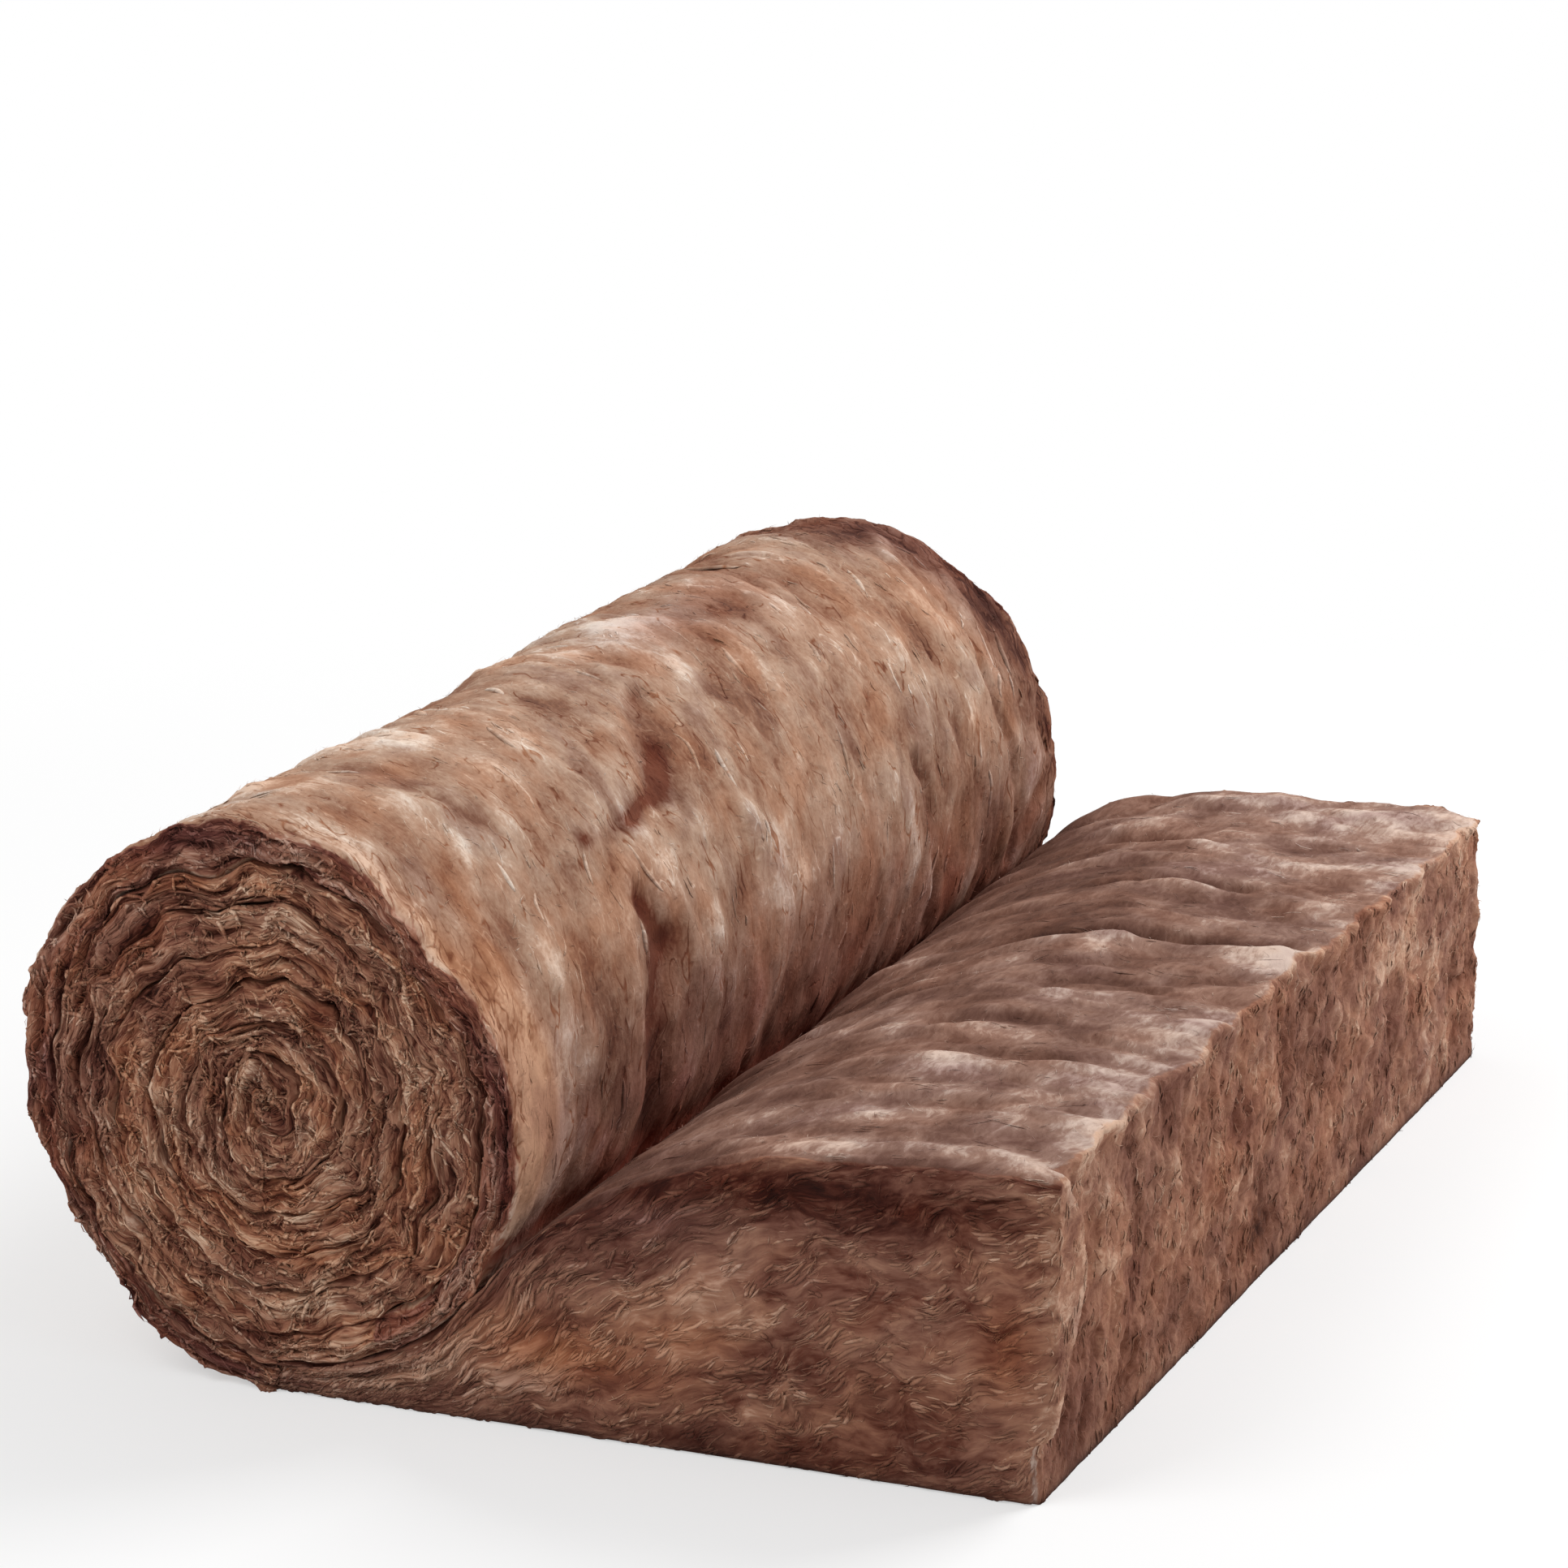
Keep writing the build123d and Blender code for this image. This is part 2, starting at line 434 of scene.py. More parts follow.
# and elsewhere: (place from the roll's middle on the floor, half widths, strength)
bodyMarks = {
    "ochre": [
        ((0.601, -0.6, 0.12), (0.03, 0.06, 0.045), 0.9),
        ((0.627, -0.18, 0.125), (0.05, 0.09, 0.04), 0.6),
        ((0.627, -0.056, 0.17), (0.05, 0.06, 0.025), 0.5),
        ((0.627, -0.42, 0.11), (0.05, 0.07, 0.05), 0.4),
    ],
    "dark": [
        ((0.4, -0.13, 0.24), (0.07, 0.05, 0.05), 0.5), ((0.336, -0.325, 0.23), (0.05, 0.09, 0.05), 0.5),
        ((0.4, 0.39, 0.23), (0.035, 0.04, 0.05), 0.9), ((0.31, 0.4, 0.22), (0.05, 0.05, 0.05), 0.5),
        ((0.39, 0.21, 0.24), (0.07, 0.03, 0.05), 0.5), ((0.627, 0.031, 0.2), (0.04, 0.06, 0.018), 0.7),
        ((0.627, 0.153, 0.128), (0.04, 0.04, 0.03), 0.5),
        ((0.627, -0.378, 0.05), (0.04, 0.06, 0.025), 0.4),
    ],
    # pale cream wool, with painted highlights in places, as on the far, lit part of the top
    "creamAndHighlight": [
        ((0.46, -0.48, 0.24), (0.08, 0.026, 0.05), 0.8),
        ((0.45, -0.565, 0.25), (0.15, 0.026, 0.03), 0.5), ((0.36, -0.54, 0.25), (0.06, 0.02, 0.03), 0.5),
        ((0.19, -0.6, 0.052), (0.13, 0.05, 0.038), 1.0), ((0.556, 0.164, 0.24), (0.05, 0.05, 0.05), 0.6),
        ((0.528, 0.348, 0.24), (0.06, 0.04, 0.05), 0.8), ((0.52, 0.5, 0.24), (0.09, 0.06, 0.05), 0.9),
        ((0.56, 0.02, 0.24), (0.06, 0.018, 0.05), 0.4), ((0.58, -0.3, 0.24), (0.04, 0.16, 0.05), 0.5),
        ((0.46, 0.46, 0.24), (0.15, 0.15, 0.06), 0.6), ((0.42, -0.44, 0.24), (0.09, 0.1, 0.06), 0.2),
        ((0.627, -0.005, 0.083), (0.04, 0.018, 0.014), 0.7),
        ((0.627, 0.43, 0.124), (0.04, 0.13, 0.09), 0.45),
        ((0.627, -0.56, 0.16), (0.04, 0.035, 0.06), 0.5),
    ],
}


def addMarks(place, turn, across, outerPly, paint):
    spot = place - np.array([rollX, 0, 0])
    for name, reach in sideReach.items():
        total = bumps(turn, across, skinMarks[name]) * outerPly * (1 - paint["sideFace"])
        rows = []
        for x, z, halfLong, halfHigh, strength in sideMarks[name]:
            rows.append(((x, -halfWidth, z), (halfLong, reach, halfHigh), strength))
        for middle, halves, strength in rows + bodyMarks.get(name, []):
            total += strength * np.exp(-(((spot - middle) / halves) ** 2).sum(axis=1))
        paint[name] = paint.get(name, 0) + total


# The mat's real, uneven surface: how far along it, in from its skin and across it a spot
# has come to lie, with what colours it
def wearWool(along, depth, across):
    thick = localThickness(along)
    wound = along > 0
    skinIn = depth * thick
    topIn = (1 - depth) * thick
    edgeIn = halfWidth - np.abs(across)
    cutIn = along + mat["reach"]
    side = np.where(across < 0, -1.0, 1.0)
    grain = grainOf(along, depth, across)
    turn = np.interp(along, tableLength, tableTurn)

    # worn edges, rounder in some places than in others
    softness = np.clip(0.85 + 2.2 * woolNoise(grain / 0.050, 61), 0.06, wear["softest"])
    rimRadius = np.where(along < lengthAt(330), wear["rimRadius"], wear["plyRadius"])
    mostRadius = thick * 0.46
    woundRadius = np.minimum(rimRadius * softness, mostRadius)
    bottomRadius = np.where(wound, woundRadius, wear["bottomRadius"])
    topRadius = np.where(wound, woundRadius, np.minimum(wear["topRadius"] * softness, mostRadius))
    skinIn, edgeA = roundCorner(skinIn, edgeIn, bottomRadius)
    topIn, edgeB = roundCorner(topIn, edgeIn, topRadius)
    groove = np.maximum(edgeA, edgeB) - edgeIn
    edgeIn = np.maximum(edgeA, edgeB)
    skinIn = np.where(depth < 0.5, skinIn, thick - topIn)
    cutIn, edgeIn = roundCorner(cutIn, edgeIn, wear["cutRadius"])
    topIn, cutTop = roundCorner(thick - skinIn, cutIn, wear["cutTopRadius"])
    upper = depth > 0.5
    skinIn = np.where(upper, thick - topIn, skinIn)
    cutIn = np.where(upper, cutTop, cutIn)
    topIn = thick - skinIn

    # each face's own relief
    outermost = np.clip((lengthAt(320) - along) / 0.05, 0, 1)
    shallow = 3.5 * wear["reachIn"]
    swirl = np.stack([woolNoise(grain / (0.05, 0.025, 0.05), seed) for seed in (11, 12, 13)], axis=1)
    calm = grain + 0.006 * swirl
    curled = grain + np.array([0.020, 0.010, 0.012]) * swirl
    nearSkin = wound & (along < lengthAt(335)) & (skinIn < shallow)
    skin = reliefOf("skin", nearSkin, slantedGrain(calm, along))
    top = reliefOf("top", ~wound & (topIn < shallow), calm)
    flatShare = np.clip(-along / 0.06, 0, 1)
    nearEdge = edgeIn < shallow
    edge = reliefOf("end", nearEdge & (flatShare < 1), curled) * (1 - flatShare)
    edge += reliefOf("side", nearEdge & (flatShare > 0), slantedGrain(curled, along)) * flatShare
    cut = reliefOf("cut", cutIn < shallow, curled)
    nearFloor = np.where(wound, 1.0, np.clip(skinIn / 0.03, 0.12, 1))
    cut *= nearFloor
    edge *= nearFloor

    # the torn corner of the cut end
    flapWide = np.interp(skinIn, wear["flapHeights"], wear["flapWidths"])
    flapWide += 0.006 * woolNoise(grain / 0.03, 63)
    fromSide = across + halfWidth
    flap = np.clip((flapWide - fromSide) / 0.004 + 0.5, 0, 1)
    # painted highlight along the torn flap's edge
    flapEdgeHighlight = np.exp(-(((flapWide - 0.006 - fromSide) / 0.007) ** 2)) * (flapWide > 0.004)
    cut += wear["flap"] * flap - 0.8 * cut * flap

    # the groove beside the roll, the creases on top and the ragged edges
    fromRoll = -along
    nipGrooveAndShade = np.exp(-(((fromRoll - creaseX) / wear["nipWidth"]) ** 2)) * ~wound
    nipGrooveAndShade += np.exp(-(((turn - mat["creaseTurn"] + 3) / wear["nipTurn"]) ** 2)) * wound * (turn < 340)
    wavy = across + 0.010 * swirl[:, 2]
    crease = furrows(fromRoll, wavy, settled["creases"])
    # a raised lip beside each crease, which also gets a painted highlight
    lipAndHighlight = furrows(fromRoll, wavy + 0.022, settled["creases"])
    lipAndHighlight = lipAndHighlight * np.clip(0.75 + 0.9 * swirl[:, 0], 0, 1.3)
    top += (0.45 * lipAndHighlight - crease) * ~wound
    tatters = 0.40 + 0.7 * woolNoise(grain / 0.034, 65) + 0.8 * woolNoise(grain / 0.09, 66)
    ragged = wear["overhang"] * np.clip(tatters, 0, 1.5)
    nearTop = np.exp(-((np.clip(topIn, 0, None) / wear["overhangHeight"]) ** 2))
    cut += ragged * nearTop
    edge += 0.25 * ragged * nearTop * ~wound
    rim = np.exp(-((edgeIn / wear["rimReach"]) ** 2)) * wound
    flakes = layered(locks, slantedGrain(calm, along), (0.045, 0.3, 0.014), 24, 2)
    skin += wear["flakes"] * rim * flakes - wear["nipDepth"] * nipGrooveAndShade * wound
    top -= wear["nipDepth"] * nipGrooveAndShade * ~wound
    skin *= outermost
    top *= np.clip((fromRoll - creaseX + 0.05) / 0.05, 0, 1)

    # what the relief moves, at the faces and less and less inside
    fade = wear["reachIn"]
    newSkin = skinIn - skin * nearness(skinIn, fade) + top * nearness(topIn, fade)
    edgeMoves = edge * nearness(edgeIn, fade)
    cutMoves = cut * nearness(cutIn, fade)
    newAcross = side * (halfWidth - edgeIn + edgeMoves)
    newAlong = np.where(wound, along, cutIn - cutMoves - mat["reach"])

    # which face a spot is on, and what colours it
    onCut = nearness(cutIn, 0.005)
    onEdge = nearness(edgeIn - groove, 0.005) * (1 - onCut)
    onFace = np.clip(1 - onEdge - onCut, 0, 1)
    onFlap = onCut * flap
    onEdge += onFlap
    onCut -= onFlap
    # painted shade in the hollows of the relief and in the grooves between plies, less of it on raised
    # locks
    low = np.clip(0.5 - edge / fullHollowShade["edge"] + groove / fullHollowShade["groove"], 0, 1.4) * onEdge
    low += np.clip(0.5 - cut / fullHollowShade["cut"], 0, 1) * onCut
    low += np.clip(0.5 - skin / fullHollowShade["skin"] - top / fullHollowShade["top"], 0, 1) * onFace
    outerPly = (along > 0.02) & (along < lengthAt(335))
    # redder wool along the dents, with painted shade in them
    dentColourAndShade = furrows(turn + 3 * swirl[:, 1], across + 0.014 * swirl[:, 2], settled["dentColourAndShade"], skinPerDegree)
    # painted highlight: a pale band on top along the cut end
    paleEdge = np.exp(-((np.clip(cutIn, 0, None) / wear["paleEdge"]) ** 1.5))
    # the shaded flanks of the roll and of the swelling top, but not by the near rim
    nearRim = np.exp(-((edgeIn / 0.085) ** 2)) * (across < 0)
    rollFlankShade = np.clip((turn - 238 + 14 * swirl[:, 0]) / 56, 0, 1) ** 1.4 * (turn < 340) * (1 - nearRim)
    matFlankShade = np.clip(1.1 - (fromRoll - creaseX) / 0.11, 0, 1) ** 1.6
    paint = {
        "grain": grain,
        "sideFace": onEdge,
        "cutFace": onCut,
        "paintedHollowShade": low,
        "outerPly": outerPly * 1.0,
        # painted shade in the crease where the roll meets the mat
        "nipGrooveAndShade": np.clip(nipGrooveAndShade, 0, 1) * onFace,
        # redder wool in the dents, partly painted shade there
        "redWoolAndShade": dentColourAndShade * outerPly * onFace,
        "slantedGrain": slantedGrain(grain, along),
        "rim": rim * (1 + 0.6 * swirl[:, 1]) * outerPly * onFace,
        "flankShade": np.where(wound, rollFlankShade, matFlankShade) * onFace,
        # painted highlights on the crease lips, along the cut end and on the torn flap's edge
        "lipAndHighlight": np.clip(lipAndHighlight * 60 - crease * 30, 0, 1) * onFace * ~wound
        + 1.6 * paleEdge * ~wound * onFace
        + (0.6 + 0.9 * flapEdgeHighlight) * onFlap,
        # painted shade in a thin line where the flat mat meets the floor
        "floorLineShade": nearness(np.where(wound, 1, skinIn), 0.006),
    }
    place = layDown(newAlong, newSkin / thick, newAcross)
    addMarks(place, turn, across, outerPly, paint)
    return newAlong, newSkin, newAcross, thick, paint


def placeWool(along, skinIn, across, thick, lift=(0.0, 0.0, 0.0)):
    place = layDown(along + lift[0], (skinIn - lift[1]) / thick, across + lift[2])
    place[:, 2] = np.maximum(place[:, 2], 0.0)
    return place


# Puts a mesh, camera or lamp in the scene
def addItem(name, data):
    item = bpy.data.objects.new(name, data)
    bpy.context.scene.collection.objects.link(item)
    return item


# A smooth piece of the mesh, with every face turned outward
def smoothPiece(name, mesh):
    bm = bmesh.new()
    bm.from_mesh(mesh)
    bmesh.ops.recalc_face_normals(bm, faces=bm.faces)
    bm.to_mesh(mesh)
    bm.free()
    mesh.shade_smooth()
    return addItem(name, mesh)


def setPaint(mesh, paint):
    for name, values in paint.items():
        kind = "FLOAT_VECTOR" if values.ndim == 2 else "FLOAT"
        slot = mesh.attributes.new(name, kind, "POINT")
        slot.data.foreach_set("vector" if values.ndim == 2 else "value", values.astype(np.float32).ravel())


# A length of mat: a box cut into a fine grid, then laid down and wound up
def makeMat(name, stretch):
    bm = bmesh.new()
    bmesh.ops.create_cube(bm, size=1)
    for axis, cells in enumerate(stretch["cells"]):
        lines = [e for e in bm.edges if abs((e.verts[0].co - e.verts[1].co).normalized()[axis]) > 0.999]
        bmesh.ops.subdivide_edges(bm, edges=lines, cuts=cells - 1, use_grid_fill=True)
    mesh = bpy.data.meshes.new(name)
    bm.to_mesh(mesh)
    bm.free()
    unit = np.zeros(len(mesh.vertices) * 3)
    mesh.vertices.foreach_get("co", unit)
    unit = unit.reshape(-1, 3) + 0.5
    along = stretch["from"] + (stretch["to"] - stretch["from"]) * unit[:, 0]
    acrossShare = unit[:, 2] * 2 - 1
    across = np.sign(acrossShare) * (1 - (1 - np.abs(acrossShare)) ** stretch["edgePower"]) * halfWidth
    newAlong, skinIn, newAcross, thick, paint = wearWool(along, unit[:, 1], across)
    paint["tint"] = np.zeros(len(along))
    mesh.vertices.foreach_set("co", placeWool(newAlong, skinIn, newAcross, thick).ravel())
    setPaint(mesh, paint)
    piece = smoothPiece(name, mesh)
    thin = piece.modifiers.new("thin", "DECIMATE")
    thin.ratio = min(1.0, stretch["triangles"] / (2 * len(mesh.polygons)))
    finished = bpy.data.meshes.new_from_object(piece.evaluated_get(bpy.context.evaluated_depsgraph_get()))
    piece.modifiers.clear()
    piece.data = finished
    finished.name = name
    report(f"{name}, {len(finished.polygons)} faces")
    return piece


outerTurn = {
    "from": -0.03,
    "to": lengthAt(332),
    "cells": (220, 12, 360),
    "edgePower": 1.3,
    "triangles": 160000,
}
innerTurns = {
    "from": lengthAt(316),
    "to": lengthAt(lastTurn - 30),
    "cells": (1500, 18, 14),
    "edgePower": 4.0,
    "triangles": 130000,
}
flatMat = {
    "from": -mat["reach"],
    "to": 0.03,
    "cells": (170, 80, 400),
    "edgePower": 1.2,
    "triangles": 195000,
}


# Loose locks of fibre lying on each kind of face, in bunches of a few side by side.
# Lengths and widths are in metres, headings in degrees from the grain; spread and wander
# are the scatter about the heading, from bunch to bunch and from place to place.
singleFibre = {
    "bunch": 1, "points": 3, "loose": True, "width": (0.0004, 0.0009), "curl": 30.0,
    "tint": (0.06, 0.05), "pale": (0.0, 0.0),
}
looseLocks = {
    "end_locks": {
        "face": "end", "count": 8000, "bunch": 2, "points": 5,
        "length": (0.012, 0.036), "width": (0.0012, 0.0048), "lift": 0.0020,
        "heading": 0.0, "spread": 32.0, "wander": 66.0, "curl": 24.0,
        "tint": (0.01, 0.06), "pale": (0.05, 0.18), "seed": 71,
    },
    "side_locks": {
        "face": "side", "count": 6000, "bunch": 4, "points": 5,
        "length": (0.009, 0.024), "width": (0.0010, 0.0042), "lift": 0.0016,
        "heading": -24.0, "spread": 14.0, "wander": 14.0, "curl": 8.0,
        "tint": (0.00, 0.05), "pale": (0.14, 0.12), "seed": 75,
    },
    "cut_locks": {
        "face": "cut", "count": 3600, "bunch": 4, "points": 5,
        "length": (0.006, 0.022), "width": (0.0010, 0.0034), "lift": 0.0016,
        "heading": 82.0, "spread": 20.0, "wander": 30.0, "curl": 18.0,
        "tint": (0.02, 0.04), "pale": (0.12, 0.10), "seed": 72,
    },
    "skin_locks": {
        "face": "skin", "count": 1500, "bunch": 3, "points": 5,
        "length": (0.012, 0.036), "width": (0.0010, 0.0036), "lift": 0.0008,
        "heading": -21.0, "spread": 12.0, "wander": 14.0, "curl": 9.0,
        "tint": (0.00, 0.03), "pale": (0.14, 0.14), "seed": 73,
    },
    # the long pale wisps that lie on the skin
    "skin_wisps": {
        "face": "skin", "count": 110, "bunch": 1, "points": 7,
        "length": (0.026, 0.070), "width": (0.0040, 0.0100), "lift": 0.0008,
        "heading": -26.0, "spread": 8.0, "wander": 8.0, "curl": 6.0,
        "tint": (0.09, 0.04), "pale": (0.25, 0.07), "seed": 76,
    },
    "top_locks": {
        "face": "top", "count": 900, "bunch": 4, "points": 5,
        "length": (0.012, 0.040), "width": (0.0007, 0.0024), "lift": 0.0007,
        "heading": 0.0, "spread": 20.0, "wander": 30.0, "curl": 12.0,
        "tint": (0.00, 0.03), "pale": (0.10, 0.12), "seed": 74,
    },
    # single fibres that stand up from it
    "end_fibres": {
        **singleFibre, "face": "end", "count": 3000, "length": (0.006, 0.016), "lift": 0.0050,
        "heading": 0.0, "spread": 70.0, "wander": 60.0, "seed": 81,
    },
    "side_fibres": {
        **singleFibre, "face": "side", "count": 2500, "length": (0.006, 0.016), "lift": 0.0050,
        "heading": -20.0, "spread": 60.0, "wander": 60.0, "seed": 82,
    },
    "cut_fibres": {
        **singleFibre, "face": "cut", "count": 2500, "length": (0.006, 0.016), "lift": 0.0050,
        "heading": 80.0, "spread": 60.0, "wander": 60.0, "seed": 83,
    },
    "skin_fibres": {
        **singleFibre, "face": "skin", "count": 6000, "length": (0.006, 0.018), "lift": 0.0045,
        "heading": -21.0, "spread": 50.0, "wander": 30.0, "seed": 84,
    },
    "top_fibres": {
        **singleFibre, "face": "top", "count": 2500, "length": (0.006, 0.018), "lift": 0.0045,
        "heading": 0.0, "spread": 50.0, "wander": 30.0, "seed": 85,
    },
}


# Where each bunch lies: its middle on the mat as along, depth and across
def scatterLocks(face, count, rng):
    reach = mat["reach"]
    depth = rng.random(count)
    across = rng.uniform(-halfWidth, halfWidth, count)
    if face == "skin":
        return rng.uniform(0.03, lengthAt(298), count), depth * 0, across
    if face == "top":
        return rng.uniform(-reach, -creaseX - 0.01, count), depth * 0 + 1, across
    if face == "cut":
        return np.full(count, -reach), depth, across
    nearer = np.where(rng.random(count) < 0.58, -halfWidth, halfWidth)
    if face == "side":
        return -reach * rng.random(count) ** 0.8, depth, nearer
    return rng.uniform(0, lengthAt(lastTurn - 60), count), depth, nearer


# Keeps a spot on the length of mat, wound or flat, that it started on
def keepOnLength(started, along):
    onFlat = np.clip(along, -mat["reach"], -0.001)
    return np.where(started < 0, onFlat, np.maximum(along, 0.001))


# The corners of each face of one lock: a closed sliver with three corners to a ring
def sliverFaces(steps):
    tip = 3 * (steps - 2) + 1
    last = tip - 3
    faces = []
    for k in range(3):
        n = (k + 1) % 3
        faces.append((0, 1 + n, 1 + k))
        for a in range(1, last, 3):
            faces.append((a + k, a + n, a + 3 + n))
            faces.append((a + k, a + 3 + n, a + 3 + k))
        faces.append((last + k, last + n, tip))
    return np.array(faces)


def makeLocks(name, plan):
    rng = np.random.default_rng(plan["seed"])
    steps, bunch = plan["points"], plan["bunch"]
    count = plan["count"] // bunch * bunch

    # where each lock lies and which way it points
    along, depth, across = scatterLocks(plan["face"], count // bunch, rng)
    grain = grainOf(along, depth, across)
    heading = plan["heading"] + plan["wander"] * woolNoise(grain / 0.07, plan["seed"])
    heading += plan["spread"] * rng.normal(size=count // bunch)
    pale = plan["pale"][1] * (rng.random(count // bunch) < plan["pale"][0])
    ofLocks = [np.repeat(part, bunch) for part in (along, depth, across, heading, pale)]
    along, depth, across, heading, pale = ofLocks
    thick = localThickness(along)
    gap = 0.0035 * rng.normal(size=(3, count))
    if plan["face"] in ("skin", "top", "end", "side"):
        along = keepOnLength(along, along + gap[0])
    if plan["face"] in ("end", "side", "cut"):
        depth = np.clip(depth + gap[1] / thick, 0, 1)
    if plan["face"] in ("skin", "top", "cut"):
        across = np.clip(across + gap[2], -halfWidth, halfWidth)
    heading = np.radians(heading + 5 * rng.normal(size=count))
    shortest, longest = plan["length"]
    length = shortest + (longest - shortest) * rng.random(count) ** 1.7
    narrowest, widest = plan["width"]
    width = narrowest + (widest - narrowest) * rng.random(count) ** 2
    bend = np.radians(plan["curl"]) * rng.normal(size=count)

    # its path over the face
    stride = length / (steps - 1)
    share = np.linspace(0, 1, steps)
    turnTo = heading[:, None] + bend[:, None] * (np.arange(steps) - (steps - 1) / 2)
    walk = np.cumsum(np.cos(turnTo), axis=1) * stride[:, None]
    drift = np.cumsum(np.sin(turnTo), axis=1) * stride[:, None]
    walk -= walk.mean(axis=1, keepdims=True)
    drift -= drift.mean(axis=1, keepdims=True)
    still = np.zeros_like(walk)
    alongMove, deepMove, acrossMove = {
        "skin": (walk, still, drift),
        "top": (walk, still, drift),
        "end": (walk, drift, still),
        "side": (walk, drift, still),
        "cut": (still, drift, walk),
    }[plan["face"]]
    pathAlong = (along[:, None] + alongMove).ravel()
    if plan["face"] in ("top", "end", "side"):
        pathAlong = keepOnLength(np.repeat(along, steps), pathAlong)
    pathDepth = np.clip((depth[:, None] + deepMove / thick[:, None]).ravel(), 0, 1)
    pathAcross = np.clip((across[:, None] + acrossMove).ravel(), -halfWidth, halfWidth)
    newAlong, skinIn, newAcross, thick, paint = wearWool(pathAlong, pathDepth, pathAcross)
    arch = share if plan.get("loose") else np.sin(math.pi * share) ** 0.7
    rise = (plan["lift"] * rng.random(count)[:, None] ** 1.5 * arch - 0.0004).ravel()
    outward = {
        "skin": (0, 1, 0), "top": (0, -1, 0), "end": (0, 0, 1), "side": (0, 0, 1), "cut": (-1, 0, 0),
    }[plan["face"]]
    sign = np.where(pathAcross < 0, -1.0, 1.0) if plan["face"] in ("end", "side") else 1.0

    def raised(height):
        lift = [height * outward[0], height * outward[1], height * outward[2] * sign]
        return placeWool(newAlong, skinIn, newAcross, thick, lift).reshape(count, steps, 3)

    spine = raised(rise)
    normal = raised(rise + 0.001) - spine
    normal /= np.maximum(np.linalg.norm(normal, axis=2, keepdims=True), 1e-9)
    tangent = np.gradient(spine, axis=1)
    tangent /= np.maximum(np.linalg.norm(tangent, axis=2, keepdims=True), 1e-9)
    sideways = np.cross(tangent, normal)

    # three corners round each inner point of the path, and a tip at both ends
    half = (width[:, None] / 2 * np.sin(math.pi * share) ** 0.6)[:, 1:-1, None]
    rings = np.stack(
        [
            spine[:, 1:-1] + sideways[:, 1:-1] * half,
            spine[:, 1:-1] + normal[:, 1:-1] * half * 0.5,
            spine[:, 1:-1] - sideways[:, 1:-1] * half,
        ],
        axis=2,
    ).reshape(count, -1, 3)
    verts = np.concatenate([spine[:, :1], rings, spine[:, -1:]], axis=1)
    verts[:, :, 2] = np.maximum(verts[:, :, 2], 0.0)
    perLock = verts.shape[1]
    faces = (sliverFaces(steps)[None] + perLock * np.arange(count)[:, None, None]).reshape(-1, 3)
    mesh = bpy.data.meshes.new(name)
    mesh.from_pydata(verts.reshape(-1, 3), [], faces)

    # every corner takes the colouring of its point of the path
    perVertex = np.concatenate([[0], np.repeat(np.arange(1, steps - 1), 3), [steps - 1]])
    spread = {}
    for key, values in paint.items():
        byPoint = values.reshape(count, steps, -1)[:, perVertex]
        spread[key] = byPoint.reshape(-1, 3) if values.ndim == 2 else byPoint.ravel()
    # the locks take half of the painted shade of the hollows
    spread["paintedHollowShade"] = spread["paintedHollowShade"] * 0.5
    tint = rng.normal(*plan["tint"], count) + pale
    spread["tint"] = np.repeat(tint, perLock)
    setPaint(mesh, spread)
    mesh.validate()
    piece = smoothPiece(name, mesh)
    report(f"{name}, {len(mesh.polygons)} faces")
    return piece


def srgb(hexColour):
    parts = [int(hexColour[i : i + 2], 16) / 255 for i in (1, 3, 5)]
    return [p / 12.92 if p <= 0.04045 else ((p + 0.055) / 1.055) ** 2.4 for p in parts] + [1.0]


# Inputs are given by name, or as i0, i1 and so on by number
def addNode(tree, kind, settings=None, **inputs):
    node = tree.nodes.new(kind)
    for name, value in (settings or {}).items():
        setattr(node, name, value)
    for name, value in inputs.items():
        numbered = name[0] == "i" and name[1:].isdigit()
        socket = node.inputs[int(name[1:]) if numbered else name.replace("_", " ")]
        if isinstance(value, bpy.types.NodeSocket):
            tree.links.new(value, socket)
        else:
            socket.default_value = value
    return node


def colourRamp(tree, factor, stops):
    node = addNode(tree, "ShaderNodeValToRGB", Fac=factor)
    ramp = node.color_ramp
    while len(ramp.elements) < len(stops):
        ramp.elements.new(0.5)
    for element, (position, colour) in zip(ramp.elements, stops):
        element.position = position
        element.color = srgb(colour)
    return node.outputs["Color"]


